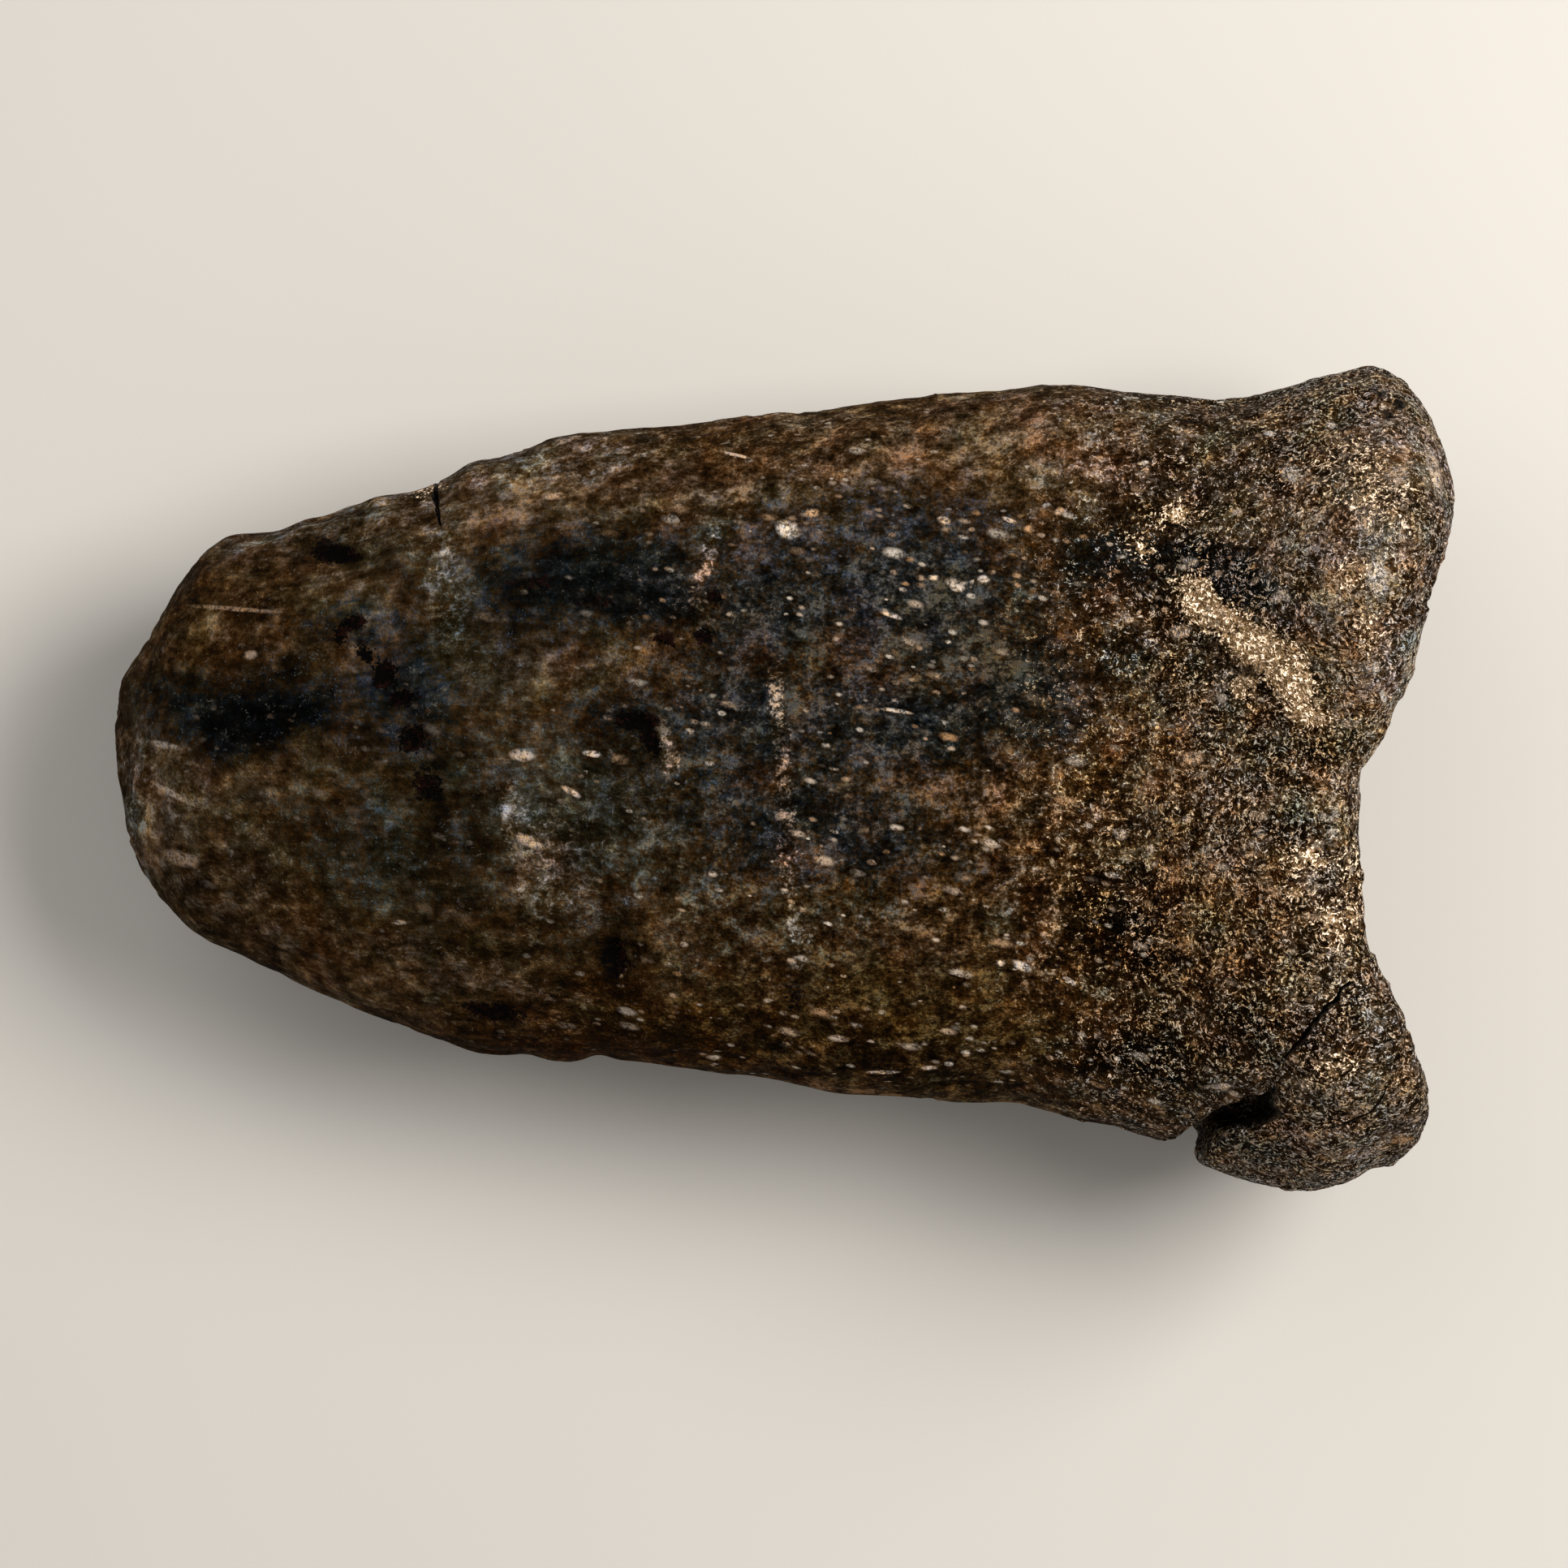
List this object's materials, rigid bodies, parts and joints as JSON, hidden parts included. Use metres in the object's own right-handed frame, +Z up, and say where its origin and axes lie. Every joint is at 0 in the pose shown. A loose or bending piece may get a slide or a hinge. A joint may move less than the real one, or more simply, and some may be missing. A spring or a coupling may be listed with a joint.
{
  "type": "fossil dinosaur vertebra",
  "caption": "Long fossil vertebra body lying on its back: a rounded front end, a waisted dark mottled shaft and a flared, hollow rear end with a cracked flake on its rim.",
  "frame": {"origin": "on the resting plane, under the middle of the bone's box", "axes": "+X along the bone towards its hollow rear end, +Y across it towards the larger rear knob, +Z up through the side that faced the ground in life"},
  "size_m": [0.0902, 0.056, 0.0361],
  "materials": {
    "fossil_bone": "satin"
  },
  "bodies": {
    "root": {"vertebra": "fossil_bone"}
  },
  "joints": []
}
